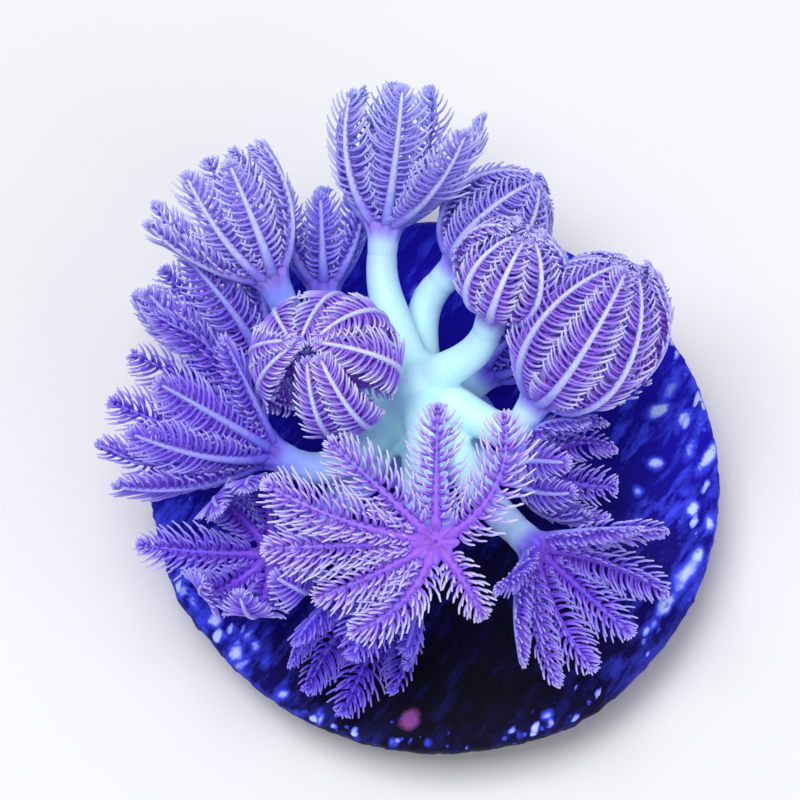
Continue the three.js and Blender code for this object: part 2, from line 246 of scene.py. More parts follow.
def tube_faces(rings, sides, tubes=1):
    """Quads between the rings of equal tubes and triangles that close both ends by a point.
    A tube's vertices are its rings in order, then the point at its foot and the one at its tip."""
    size = rings * sides + 2
    level, side = np.meshgrid(np.arange(rings - 1), np.arange(sides), indexing="ij")
    near = (level * sides + side).ravel()
    beside = (level * sides + (side + 1) % sides).ravel()
    quads = np.stack([near, beside, beside + sides, near + sides], 1)
    turn = np.arange(sides)
    after = (turn + 1) % sides
    last = (rings - 1) * sides
    foot = np.stack([after, turn, np.full(sides, size - 2)], 1)
    tip = np.stack([last + turn, last + after, np.full(sides, size - 1)], 1)
    shift = (np.arange(tubes) * size)[:, None, None]
    fans = np.concatenate([foot, tip])
    return (quads[None] + shift).reshape(-1, 4), (fans[None] + shift).reshape(-1, 3)


def tube_points(centres, side_a, side_b, radii, sides, foot=None, tip=None):
    """Rings round lines of centres (..., n, 3), closed by a foot point and a tip point."""
    angle = 2 * math.pi * np.arange(sides) / sides
    ring_a = np.cos(angle)[:, None] * side_a[..., None, :]
    ring_b = np.sin(angle)[:, None] * side_b[..., None, :]
    rings = centres[..., None, :] + radii[..., None, None] * (ring_a + ring_b)
    flat = rings.reshape(*rings.shape[:-3], -1, 3)
    foot = centres[..., 0, :] if foot is None else foot
    tip = centres[..., -1, :] if tip is None else tip
    return np.concatenate([flat, foot[..., None, :], tip[..., None, :]], axis=-2)


# The lines of a crown

def crown_frame(polyp):
    """The crown's centre and axis, and the two directions across it: upper and right-hand."""
    azimuth, elevation = map(math.radians, polyp["faces"])
    axis = np.array([
        math.cos(azimuth) * math.cos(elevation),
        math.sin(azimuth) * math.cos(elevation),
        math.sin(elevation),
    ])
    reference = UP if abs(axis[2]) < 0.95 else BACK
    upper = unit(reference - axis * (axis @ reference))
    return np.array(polyp["at"], float), axis, upper, np.cross(axis, upper)


LINE_STEPS = 60


class ArmLine:
    """The middle line of one arm, with the way along it, out of its back and across it."""

    def __init__(self, crown, arm):
        centre, axis, _, _ = crown
        self.length = arm["length"]
        self.share = np.linspace(0, 1, LINE_STEPS + 1)
        middle = (self.share[1:] + self.share[:-1]) / 2
        out, self.along, self.back = self.directions(crown, arm, self.share)
        _, steps, _ = self.directions(crown, arm, middle)
        start = centre + out[0] * ARM_FOOT_RADIUS
        moves = np.cumsum(steps * self.length / LINE_STEPS, axis=0)
        self.points = np.concatenate([start[None], start + moves])
        self.across = np.cross(axis, out)

    @staticmethod
    def directions(crown, arm, share):
        """Out of the crown's axis, along the arm and out of its back, at shares of its length."""
        _, axis, upper, right = crown
        turn = np.radians(arm["roll"] + arm["sweep"] * share)[:, None]
        lean = np.radians(arm["start"] + (arm["end"] - arm["start"]) * share)[:, None]
        out = upper * np.cos(turn) + right * np.sin(turn)
        along = axis * np.cos(lean) + out * np.sin(lean)
        back = out * np.cos(lean) - axis * np.sin(lean)
        return out, along, back

    def at(self, share):
        """Point, along, back and across at shares of the length."""
        def mix(rows):
            return np.stack([np.interp(share, self.share, rows[:, i]) for i in range(3)], -1)
        return mix(self.points), unit(mix(self.along)), unit(mix(self.back)), unit(mix(self.across))


# Arms and their side fingers

RACHIS_SIDES = 10
RACHIS_RINGS = 26
RACHIS_FOOT = 0.36
RACHIS_TIP = 0.11
RACHIS_TAPER = 1.5
RACHIS_SINK = 0.8
RACHIS_PINCH = 0.6
RACHIS_BLUNTNESS = 0.5
FINGER_SIDES = 5
FINGER_RINGS = 5
FINGER_REACH = 0.275
FINGER_LONGEST = 2.35
FINGER_RADIUS = 0.1
FINGER_TIP_RADIUS = 0.068
FINGER_CURL = 1.6
FINGER_TAPER = 1.6
FINGER_PINCH = 0.72
FINGER_BLUNTNESS = 0.5


def rachis_radius(share):
    return RACHIS_TIP + (RACHIS_FOOT - RACHIS_TIP) * (1 - share) ** RACHIS_TAPER


def add_rachis(builder, line):
    """The arm's own stem: a tapered tube, sunk into the cup at its foot."""
    share = np.linspace(0, 1, RACHIS_RINGS)
    point, along, back, across = line.at(share)
    point[0] -= along[0] * RACHIS_SINK
    radius = rachis_radius(share)
    radius[-1] *= RACHIS_PINCH
    tip = point[-1] + along[-1] * RACHIS_BLUNTNESS * RACHIS_TIP
    vertices = tube_points(point, back, across, radius, RACHIS_SIDES, tip=tip)
    angle = 2 * math.pi * np.arange(RACHIS_SIDES) / RACHIS_SIDES
    front = np.tile(0.5 - 0.5 * np.cos(angle), RACHIS_RINGS)
    builder.add(
        vertices, tube_faces(RACHIS_RINGS, RACHIS_SIDES),
        along=np.concatenate([np.repeat(share, RACHIS_SIDES), [0, 1]]),
        front=np.concatenate([front, [0.5, 0.5]]),
        reach=0.0,
    )


def add_fingers(builder, along, front, feet, ways, bends, lengths, radii, rng):
    """A batch of thin curved blunt fingers. Each turns from its way towards its bend."""
    count = len(feet)
    share = np.linspace(0, 1, FINGER_RINGS)
    middle = (share[1:] + share[:-1]) / 2
    step = lengths[:, None] / (FINGER_RINGS - 1)
    way = unit(ways[:, None] + bends[:, None] * (middle ** FINGER_CURL)[None, :, None])
    points = np.concatenate([feet[:, None], feet[:, None] + np.cumsum(way * step[..., None], 1)], 1)
    tangent = unit(ways[:, None] + bends[:, None] * (share ** FINGER_CURL)[None, :, None])
    side_a = unit(np.cross(tangent, unit(rng.normal(size=(count, 1, 3)))))
    side_b = np.cross(tangent, side_a)
    taper = 1 - (1 - FINGER_TIP_RADIUS / FINGER_RADIUS) * share ** FINGER_TAPER
    taper = taper * np.where(share == 1, FINGER_PINCH, 1)
    radius = radii[:, None] * taper[None]
    tip = points[:, -1] + tangent[:, -1] * radii[:, None] * FINGER_BLUNTNESS
    vertices = tube_points(points, side_a, side_b, radius, FINGER_SIDES, tip=tip)
    reach = np.concatenate([np.repeat(share, FINGER_SIDES), [0, 1]])
    builder.add(
        vertices.reshape(-1, 3), tube_faces(FINGER_RINGS, FINGER_SIDES, count),
        along=np.repeat(along, len(reach)),
        front=np.repeat(front, len(reach)),
        reach=np.tile(reach, count),
    )


# Where along the arm the fingers reach their full length, and where and how far it falls again
FULL_LENGTH_FROM = 0.26
FALL_FROM = 0.62
FALL_TO = 1.04
FALL = 0.5


def finger_length(share, length, at_foot):
    """Shorter at the foot, soon at their longest, and shorter again towards the tip."""
    rise = at_foot + (1 - at_foot) * smoothstep(share, 0.0, FULL_LENGTH_FROM)
    fall = 1 - FALL * smoothstep(share, FALL_FROM, FALL_TO)
    return min(FINGER_REACH * length, FINGER_LONGEST) * rise * fall


# The rows of fingers on each side of an arm, from its back to its front: how far round the arm
# they stand, their pitch, their length beside the longest, their lean to the tip and their drop
# to the front.
FINGER_ROWS = (
    dict(foot=0.0, pitch=0.4, size=1.0, lean=-4, drop=0.04, front=0.0),
    dict(foot=0.6, pitch=0.38, size=0.8, lean=2, drop=0.5, front=0.75),
    dict(foot=0.95, pitch=0.5, size=0.55, lean=8, drop=1.2, front=1.0),
)
TIP_LEAN = 46
# How far past an arm's tip its fingers may reach
TIP_OVERHANG = 0.35
# The length of the fingers at an arm's foot beside the longest, next to another arm and free
FOOT_FINGER = 0.4
FREE_FOOT_FINGER = 0.8
# How the fingers of a row are spread along an arm
FEWEST_FINGERS = 5
FINGERED_SHARE = 0.94
FIRST_FINGER = 0.05
LAST_FINGER = 0.985
FINGER_LIMITS = (0.03, 0.995)
PITCH_SPREAD = 0.12
STAGGER = 0.5
# How unlike one another they are: lean in degrees, lengths and radii as shares of their own
LEAN_WAVE = 4
LEAN_SPREAD = 1.8
LENGTH_RANGE = (0.9, 1.08)
RADIUS_RANGE = (0.88, 1.12)
DROP_WAVE = 0.12
DROP_SPREAD = 0.04
BEND_ALONG = (1.3, 2.1)
BEND_TO_FRONT = (0.05, 0.4)
THINNER_AT_TIP = 0.2
# Where they stand on the arm, how far past their room they reach, and how far a finger near the
# tip reaches ahead for its length at least
FOOT_INSET = 0.6
PAST_ROOM = 0.12
LEAST_AHEAD = 0.35
# Their slow unevenness along an arm: millimetres to a wave, and how much that varies
WAVE_LENGTH = 3.0
WAVE_RANGE = (0.7, 1.3)


def slow_waves(share, length, rng):
    """A smooth unevenness along an arm."""
    turns = length / WAVE_LENGTH * rng.uniform(*WAVE_RANGE)
    return np.sin(2 * math.pi * (turns * share + rng.uniform()))


def add_finger_row(builder, line, neighbours, side, kind, share_taken, free_side, rng):
    """One row of fingers down one side of an arm."""
    count = max(FEWEST_FINGERS, int(line.length * FINGERED_SHARE / kind["pitch"]))
    share = np.linspace(FIRST_FINGER, LAST_FINGER, count)
    share = share + rng.normal(0, PITCH_SPREAD / count, count)
    share = np.clip(share + kind["front"] * STAGGER / count, *FINGER_LIMITS)
    point, along, back, across = line.at(share)
    rooms = [np.linalg.norm(other.at(share)[0] - point, axis=1) for other in neighbours]
    tight = np.min(rooms, axis=0)
    room = np.minimum(rooms[side < 0], free_side * tight)
    open_share = np.clip(rooms[side < 0] / tight - 1, 0, 1) * min(free_side - 1, 1)
    at_foot = FOOT_FINGER + (FREE_FOOT_FINGER - FOOT_FINGER) * open_share
    wave = slow_waves(share, line.length, rng)
    lean = kind["lean"] + TIP_LEAN * share ** 3 + LEAN_WAVE * wave
    lean = np.radians(lean + rng.normal(0, LEAN_SPREAD, count))
    length = finger_length(share, line.length, at_foot) * kind["size"]
    length = length * rng.uniform(*LENGTH_RANGE, count)
    length = np.minimum(length, share_taken * room / np.cos(lean) + PAST_ROOM)
    ahead = (1 - share) * line.length + TIP_OVERHANG
    length = np.minimum(length, ahead / (LEAST_AHEAD + np.maximum(np.sin(lean), 0)))
    drop = kind["drop"] + DROP_WAVE * slow_waves(share, line.length, rng)
    drop = drop + rng.normal(0, DROP_SPREAD, count)
    way = side * across * np.cos(lean)[:, None] + along * np.sin(lean)[:, None]
    way = way - back * drop[:, None]
    bend = along * rng.uniform(*BEND_ALONG, count)[:, None]
    bend -= back * rng.uniform(*BEND_TO_FRONT, count)[:, None]
    foot = point + side * across * (FOOT_INSET * rachis_radius(share))[:, None]
    foot -= back * (kind["foot"] * rachis_radius(share))[:, None]
    radius = FINGER_RADIUS * rng.uniform(*RADIUS_RANGE, count) * (1 - THINNER_AT_TIP * share)
    add_fingers(builder, share, np.full(count, kind["front"]), foot, unit(way), bend, length,
                radius, rng)


TIP_FINGERS = 9
FAN_HALF_ANGLE = 1.15
FAN_TURN_SPREAD = 0.06
FAN_TILT_SPREAD = 0.2
FAN_LENGTH = 0.48
FAN_SIDE_LENGTH = 0.1
FAN_LENGTH_RANGE = (0.9, 1.1)
FAN_BEND = 0.6
FAN_RADIUS = 0.8


def add_tip_fan(builder, line, rng):
    """The small fan of fingers that ends an arm."""
    turn = np.linspace(-FAN_HALF_ANGLE, FAN_HALF_ANGLE, TIP_FINGERS)
    turn = turn + rng.normal(0, FAN_TURN_SPREAD, TIP_FINGERS)
    point, along, back, across = line.at(np.ones(TIP_FINGERS))
    way = along * np.cos(turn)[:, None] + across * np.sin(turn)[:, None]
    way += back * rng.normal(0, FAN_TILT_SPREAD, TIP_FINGERS)[:, None]
    length = FAN_LENGTH + FAN_SIDE_LENGTH * np.sin(np.abs(turn))
    length = length * rng.uniform(*FAN_LENGTH_RANGE, TIP_FINGERS)
    bend = -back * FAN_BEND
    radius = np.full(TIP_FINGERS, FAN_RADIUS * FINGER_RADIUS)
    add_fingers(builder, np.ones(TIP_FINGERS), np.zeros(TIP_FINGERS), point, unit(way), bend,
                length, radius, rng)


# The cup that carries the arms, with the mouth in the middle of its face

CUP_SIDES = 48
# Up the wall from the stem's end: height, and radius beside the stem's
CUP_WALL = ((-1.25 * CALYX_HEIGHT, 0.93), (-1.1 * CALYX_HEIGHT, 0.965), (-CALYX_HEIGHT, 0.985),
            (-1.45, 1.005), (-1.15, 1.03), (-0.85, 1.06), (-0.55, 1.14))
# Over the lip and in to the mouth: height, and radius beside the cup's
CUP_FACE = ((-0.25, 0.96), (0, 1), (0.18, 0.93), (0.26, 0.7), (0.22, 0.45), (0.24, 0.28),
            (0.3, 0.2), (0.26, 0.12), (0.1, 0.06))
CUP_PROFILE = np.array([(height, share * STEM_TOP_RADIUS) for height, share in CUP_WALL]
                       + [(height, share * CALYX_RADIUS) for height, share in CUP_FACE])
# The rows of the profile between which the wall's colour gives way to the face's
CUP_EDGE_ROWS = (7.5, 10.5)
LOBE_WIDTH = 0.15
LOBE_HEIGHT = 0.1
# The heights and radii between which the lobes of the lip rise out of the plain cup
LOBED_HEIGHTS = (-1.0, 0.0)
LOBED_RADII = (0.25, 0.9)


def add_cup(builder, crown, first_roll):
    centre, axis, upper, right = crown
    angle = 2 * math.pi * np.arange(CUP_SIDES) / CUP_SIDES
    height, radius = CUP_PROFILE[:, :1], CUP_PROFILE[:, 1:]
    lobe = np.cos(ARMS * (angle - math.radians(first_roll)))[None]
    swell = smoothstep(height, *LOBED_HEIGHTS) * smoothstep(radius, *LOBED_RADII)
    radius = radius * (1 + LOBE_WIDTH * lobe * swell)
    height = height + LOBE_HEIGHT * lobe * swell
    points = centre + height[..., None] * axis
    points = points + radius[..., None] * (
        np.cos(angle)[None, :, None] * upper + np.sin(angle)[None, :, None] * right)
    foot = centre + axis * CUP_PROFILE[0, 0]
    tip = centre + axis * CUP_PROFILE[-1, 0]
    vertices = np.concatenate([points.reshape(-1, 3), foot[None], tip[None]])
    face = smoothstep(np.arange(len(CUP_PROFILE)), *CUP_EDGE_ROWS)
    along = smoothstep(CUP_PROFILE[:, 0], -CALYX_HEIGHT, 0.0) - 1
    builder.add(
        vertices, tube_faces(len(CUP_PROFILE), CUP_SIDES),
        along=np.concatenate([np.repeat(along, CUP_SIDES), [-1, 0]]),
        front=np.concatenate([np.repeat(face, CUP_SIDES), [0, 1]]),
        reach=0.0,
    )


# For each crown: how much painted shade darkens and blues it beside the palest ones, how much
# painted light pales its inner fingers, the share of the room to the next arm that its fingers
# take, and how much more room they take on an arm's free side than on its tighter one.
CROWN_LOOKS = dict(
    flower=(0, 0.7, 0.92, 2.2),
    crest=(0.0, 0.5, 0.58, 1.0),
    right=(0.1, 0.35, 0.57, 1.0),
    knob=(0.0, 0.6, 0.57, 1.0),
    north_east=(0.2, 0.3, 0.57, 1.0),
    rear=(0.0, 0.4, 0.7, 1.3),
    north_west=(0.0, 0.65, 0.66, 1.2),
    west=(0.5, 0.4, 0.72, 1.0),
    south_west=(0.45, 0.4, 0.66, 1.0),
    south_east=(0.45, 0.5, 0.62, 1.2),
    south=(0.8, 0.3, 0.66, 1.2),
    east=(0.4, 0.5, 0.62, 1.2),
    under_west=(0.4, 0.4, 0.66, 1.0),
    back_bud=(0.4, 0.4, 0.6, 1.0),
    bud=(0.7, 0.1, 0.57, 1.0),
)


FIRST_CROWN_SEED = 100


def make_crown(name, polyp, material, seed, looks):
    rng = np.random.default_rng(seed)
    crown = crown_frame(polyp)
    lines = [ArmLine(crown, arm) for arm in polyp["arms"]]
    builder = MeshBuilder("along", "front", "reach", "shade", "pale")
    shade, pale, share_taken, free_side = looks
    builder.fixed.update(shade=shade, pale=pale)
    add_cup(builder, crown, polyp["arms"][0]["roll"])
    for k, line in enumerate(lines):
        neighbours = [lines[(k + 1) % ARMS], lines[k - 1]]
        add_rachis(builder, line)
        for side in (-1, 1):
            for kind in FINGER_ROWS:
                add_finger_row(builder, line, neighbours, side, kind, share_taken, free_side, rng)
        add_tip_fan(builder, line, rng)
    return builder.build(name, material)


# Trunk and stems as one skin

STEM_BEND = 0.34
ROOT_RISE = 0.25
STEM_SIDES = 20
STEM_RINGS = 30
STEM_GAP = 0.3
STEM_WAVE = 0.05
STEM_WAVE_PACE = (7, 12)
STEM_END = (0.3, 0.6, 0.9)
STEM_END_TAPER = (0.98, 0.9, 0.72)
SKIN_VOXEL = 0.15
SKIN_SMOOTHING = 10
SKIN_SMOOTHING_FACTOR = 0.5
SKIN_SEED = 11


def stem_line(polyp):
    """Centres of a stem from the trunk's axis into its cup, by the same curve as the model's."""
    centre, axis, _, _ = crown_frame(polyp)
    root = np.array([*TRUNK_AXIS, polyp["fork"]])
    top = centre - axis * (CALYX_HEIGHT + STEM_GAP)
    reach = np.linalg.norm(top - root) * STEM_BEND
    leave = unit(unit(top - root) + ROOT_RISE * UP)
    a, b = root + leave * reach, top - axis * reach
    share = np.linspace(0, 1, STEM_RINGS)[:, None]
    line = ((1 - share) ** 3 * root + 3 * (1 - share) ** 2 * share * a
            + 3 * (1 - share) * share ** 2 * b + share ** 3 * top)
    return np.concatenate([line, top + axis * np.array(STEM_END)[:, None]])


def carried_sides(line):
    """Two directions across a line that turn as little as they can along it."""
    tangent = unit(np.gradient(line, axis=0))
    side = np.cross(tangent[0], UP)
    sides = []
    for way in tangent:
        side = unit(side - way * (side @ way))
        sides.append(side)
    sides = np.array(sides)
    return sides, np.cross(tangent, sides)


def add_stem(builder, polyp, rng):
    line = stem_line(polyp)
    count = len(line)
    share = np.linspace(0, 1, count)
    side_a, side_b = carried_sides(line)
    radius = STEM_ROOT_RADIUS + (STEM_TOP_RADIUS - STEM_ROOT_RADIUS) * share
    phase = share * rng.uniform(*STEM_WAVE_PACE) + rng.uniform(0, 6)
    wave = STEM_WAVE * (1 - share) * np.sin(phase)
    radius = radius * (1 + wave)
    radius[STEM_RINGS:] = STEM_TOP_RADIUS * np.array(STEM_END_TAPER)
    builder.add(tube_points(line, side_a, side_b, radius, STEM_SIDES),
                tube_faces(count, STEM_SIDES))


TRUNK_SIDES = 60
TRUNK_TOP = UPPER_FORK + HUB_RISE
# Height and radius from the foot that spreads on the deck to the rounded top
TRUNK_PROFILE = np.array([
    [DISC_THICKNESS - 0.15, FOOT_RADIUS - 0.05],
    [DISC_THICKNESS + 0.15, FOOT_RADIUS - 0.1],
    [5.5, 4.0],
    [6.2, 3.1],
    [7.2, 2.55],
    [8.4, 2.34],
    [9.6, TRUNK_RADIUS],
    [TRUNK_TOP - 2, TRUNK_RADIUS],
    [TRUNK_TOP - 1.2, 2.0],
    [TRUNK_TOP - 0.5, 1.4],
    [TRUNK_TOP - 0.1, 0.6],
])
FOOT_SPREAD_FROM = 7.5
FOOT_INDENT = 0.08
# Lobes of the foot: how many, how deep and how far turned
FOOT_LOBES = ((3, 0.09, 0.6), (5, 0.07, 2.1))


def add_trunk(builder):
    height, radius = TRUNK_PROFILE.T
    angle = 2 * math.pi * np.arange(TRUNK_SIDES) / TRUNK_SIDES
    spread = smoothstep(height, FOOT_SPREAD_FROM, DISC_THICKNESS)[:, None]
    lobes = sum(depth * np.sin(count * angle + turn) for count, depth, turn in FOOT_LOBES)
    lobes = lobes - FOOT_INDENT
    radius = radius[:, None] * (1 + spread * lobes[None])
    points = np.stack([
        TRUNK_AXIS[0] + radius * np.cos(angle),
        TRUNK_AXIS[1] + radius * np.sin(angle),
        np.broadcast_to(height[:, None], radius.shape),
    ], -1)
    ends = np.array([[*TRUNK_AXIS, height[0]], [*TRUNK_AXIS, TRUNK_TOP]])
    vertices = np.concatenate([points.reshape(-1, 3), ends])
    builder.add(vertices, tube_faces(len(height), len(angle)))


def make_skin(material):
    """Trunk and stems melted into one surface, so that the forks are webbed as flesh is."""
    rng = np.random.default_rng(SKIN_SEED)
    builder = MeshBuilder()
    add_trunk(builder)
    for polyp in POLYPS.values():
        add_stem(builder, polyp, rng)
    piece = builder.build("trunk_and_stems", material)
    remesh = piece.modifiers.new("remesh", "REMESH")
    remesh.mode = "VOXEL"
    remesh.voxel_size = SKIN_VOXEL * MM
    remesh.use_smooth_shade = True
    smooth = piece.modifiers.new("smooth", "SMOOTH")
    smooth.factor = SKIN_SMOOTHING_FACTOR
    smooth.iterations = SKIN_SMOOTHING
    apply_modifiers(piece)
    return piece


def apply_modifiers(piece):
    """Keeps the mesh that the modifiers give, and drops them."""
    shown = piece.evaluated_get(bpy.context.evaluated_depsgraph_get())
    mesh = bpy.data.meshes.new_from_object(shown)
    piece.modifiers.clear()
    piece.data = mesh


# The disc

DISC_SIDES = 400
DISC_SEED = 5
DRAFT_CURVE = 1.5
MIDDLE_RADIUS = 0.3
# Crusts that widen the rim: azimuth and half width in degrees, and height
RIM_CRUSTS = ((178, 16, 0.55), (204, 9, 0.35), (150, 8, 0.3), (-62, 10, 0.25))
# Waves of the edge, the deck, the wall and the outlines of the marks: length and weight of each
EDGE_WAVES = ((2.2, 1.0), (0.9, 0.8))
DECK_WAVES = ((5.0, 0.05), (1.7, 0.035), (0.8, 0.028), (0.45, 0.014))
WALL_WAVES = ((3.0, 1.0), (1.2, 1.0))
MARK_WAVES = ((1.1, 1.0),)
EDGE_DEPTH = 0.07
WALL_DEPTH = 0.0035
# How far the wall's waves are laid out round the disc and up it
WALL_SPREAD = (30, 6)
MARK_WARP = 0.2
DECK_WAVE_COUNT = 9
# The deck dips a little to its rim, and the wall lies between two heights
RIM_DIP = 0.05
RIM_DIP_FROM = (15.2, 16.2)
WALL_HEIGHTS = (0.4, 4.5)
# Heights between which the marks fade out down the rim
MARK_FADE = (3.9, 4.9)

# Pale marks of painted glints and caustic light on the deck: place, length, width, turn from +Y
# towards +X, and strength
DISC_MARKS = (
    (12.6, 4.2, 1.1, 0.55, 62, 1), (14, 3.7, 0.8, 0.6, 20, 1), (13.6, 2.9, 0.5, 0.3, 30, 0.4),
    (12.3, 1, 0.6, 0.55, 10, 0.9), (11.3, -0.7, 0.5, 0.42, 0, 0.6),
    (14.4, 1.9, 1.2, 0.4, 22, 0.6), (15, 3.3, 1.3, 0.35, 25, 0.5), (15.4, 1.4, 1.7, 0.4, 33, 1),
    (14.1, -0.7, 0.8, 0.5, 50, 0.35), (14.4, -1.8, 0.7, 0.45, 25, 1),
    (15.4, -2.6, 0.7, 0.4, 5, 0.85), (14.6, -4.6, 0.9, 0.5, 25, 0.9),
    (14, -5.6, 1.6, 0.7, 38, 0.8), (13.5, -6.4, 0.8, 0.6, 30, 0.6), (12.8, -7.5, 1.2, 0.5, 40, 1),
    (12.1, -8.6, 0.6, 0.4, 30, 0.6), (10.5, -8.9, 0.8, 0.6, 35, 0.7),
    (15.2, 5.1, 1, 0.5, 10, 0.7), (13.2, 5.4, 1.5, 0.5, 32, 0.55),
    (15.7, 3.6, 0.9, 0.35, -12, 0.6), (10.4, 2.9, 1.8, 0.35, 35, 0.4),
    (-12.7, -8.4, 0.6, 0.5, 0, 1), (-12.2, -9.3, 0.4, 0.35, 0, 0.6),
    (-10.8, -9.3, 0.8, 0.35, 15, 0.6), (-11.6, -9, 0.35, 0.3, 0, 0.4),
    (-11.5, -10.3, 0.75, 0.5, 25, 1), (-10.4, -9.9, 0.6, 0.45, 10, 0.8),
    (-10.9, -10.9, 0.8, 0.35, 20, 0.6), (-11.4, -11.2, 0.7, 0.8, 0, 0.6),
    (-9.8, -10.9, 0.8, 0.4, 10, 0.4), (-10.3, -12.5, 0.5, 0.45, 0, 0.95),
    (-8.8, -12.8, 0.5, 0.4, 15, 0.95), (-9.5, -13.1, 0.5, 0.7, 10, 0.6),
    (-8.3, -14.1, 0.55, 0.8, 20, 0.9), (-6.8, -14.2, 1, 0.3, 10, 0.6),
    (-7.6, -13.8, 0.4, 0.3, 0, 0.4), (-4.7, -15.4, 0.45, 0.45, 0, 0.7),
    (-3.6, -15.6, 0.4, 0.3, 0, 0.45), (-2.6, -15.6, 0.4, 0.35, 0, 0.45),
    (-0.7, -15.6, 0.4, 0.3, 0, 0.4), (6, -14, 0.5, 0.5, 10, 0.7),
    (4.5, -15.1, 0.4, 0.3, 20, 0.35), (-14.6, -6.6, 0.5, 0.4, 0, 0.7),
    (-14.2, -5.7, 0.7, 0.6, 40, 0.6), (-13.9, -7.2, 1, 0.35, -8, 0.6),
    (3.5, 15, 0.8, 0.5, 30, 0.6), (8.9, 12.4, 1, 0.5, 30, 0.7), (-1.2, 11.4, 0.8, 0.6, 10, 0.8),
    (11.8, 9.8, 0.9, 0.4, 20, 0.6), (-9.4, 12, 0.7, 0.5, -20, 0.6),
    (-13.2, 8.2, 0.9, 0.4, -30, 0.6),
)
PINK_SPOT = (-1.7, -14.3, 0.9, 0.6, 35, 1)
# How sharply a mark ends at its outline
MARK_EDGE = 2.2


def waves(x, y, rng, scales, count=7):
    """A smooth random height field: sums of plane waves of the given lengths."""
    total = np.zeros(np.broadcast(x, y).shape)
    for scale, weight in scales:
        for _ in range(count):
            turn = rng.uniform(0, 2 * math.pi)
            phase = rng.uniform(0, 2 * math.pi)
            size = scale * rng.uniform(0.7, 1.4)
            total += weight / count * np.sin(
                2 * math.pi * (x * math.cos(turn) + y * math.sin(turn)) / size + phase)
    return total


def oval_mark(x, y, mark):
    """One soft-edged oval mark, from its strength in the middle to 0 outside it."""
    centre_x, centre_y, length, width, turn, strength = mark
    turn = math.radians(turn)
    off_x, off_y = x - centre_x, y - centre_y
    along = off_x * math.sin(turn) + off_y * math.cos(turn)
    across = off_x * math.cos(turn) - off_y * math.sin(turn)
    return strength * np.exp(-MARK_EDGE * ((along / length) ** 2 + (across / width) ** 2))


def disc_rings():
    """Inset from the edge and height of each ring, from the underside's middle to the deck's."""
    innermost = DISC_RADIUS - MIDDLE_RADIUS
    under = [(inset, 0.0) for inset in np.linspace(innermost, DISC_DRAFT + 0.7, 8)]
    wall = [(DISC_DRAFT + 0.35, 0.05), (DISC_DRAFT + 0.12, 0.2), (DISC_DRAFT, 0.45)]
    rise = np.linspace(0.08, 1, 14)
    wall += [(DISC_DRAFT * (1 - share) ** DRAFT_CURVE, 0.45 + share * 3.9) for share in rise]
    rim = [(0.03, 4.62), (0.13, 4.82), (0.28, 4.94), (0.5, DISC_THICKNESS)]
    band = [(inset, DISC_THICKNESS) for inset in np.arange(0.7, 7.5, 0.2)]
    middle = [(inset, DISC_THICKNESS) for inset in np.linspace(7.8, innermost, 20)]
    return np.array(under + wall + rim + band + middle)


def make_disc(material):
    rng = np.random.default_rng(DISC_SEED)
    angle = 2 * math.pi * np.arange(DISC_SIDES) / DISC_SIDES
    degrees = np.degrees(angle)
    edge = np.full(DISC_SIDES, DISC_RADIUS)
    for place, width, height in RIM_CRUSTS:
        away = (degrees - place + 180) % 360 - 180
        edge = edge + height * np.exp(-(away / width) ** 2)
    round_x, round_y = DISC_RADIUS * np.cos(angle), DISC_RADIUS * np.sin(angle)
    edge = edge + EDGE_DEPTH * waves(round_x, round_y, rng, EDGE_WAVES)
    rings = disc_rings()
    radius = edge[None] - rings[:, :1]
    radius[rings[:, 0] > DISC_RADIUS - 0.5] = MIDDLE_RADIUS
    x, y = radius * np.cos(angle), radius * np.sin(angle)
    z = np.broadcast_to(rings[:, 1:], x.shape).copy()
    wall_from, wall_to = WALL_HEIGHTS
    top = z > wall_to
    bumps = waves(x, y, rng, DECK_WAVES, DECK_WAVE_COUNT)
    z = np.where(top, z + bumps - RIM_DIP * smoothstep(radius, *RIM_DIP_FROM), z)
    side = (z > wall_from) & ~top
    dents = waves(WALL_SPREAD[0] * angle[None], WALL_SPREAD[1] * z, rng, WALL_WAVES)
    rough = 1 + np.where(side, WALL_DEPTH * dents, 0)
    warp_x = x + MARK_WARP * waves(x, y, rng, MARK_WAVES)
    warp_y = y + MARK_WARP * waves(x, y, rng, MARK_WAVES)
    # Pale marks of painted glints and caustic light, faded out down the rim
    marks = np.zeros(x.shape)
    for mark in DISC_MARKS:
        marks = np.maximum(marks, oval_mark(warp_x, warp_y, mark))
    pink = oval_mark(warp_x, warp_y, PINK_SPOT)
    on_deck = smoothstep(z, *MARK_FADE)
    points = np.stack([x * rough, y * rough, z], -1)
    ends = np.array([[0, 0, 0], [0, 0, z[-1].mean()]])
    builder = MeshBuilder("mark", "pink")
    builder.add(
        np.concatenate([points.reshape(-1, 3), ends]), tube_faces(len(rings), DISC_SIDES),
        mark=np.concatenate([(on_deck * marks).ravel(), [0, 0]]),
        pink=np.concatenate([(on_deck * pink).ravel(), [0, 0]]),
    )
    return builder.build("disc", material)


# Materials

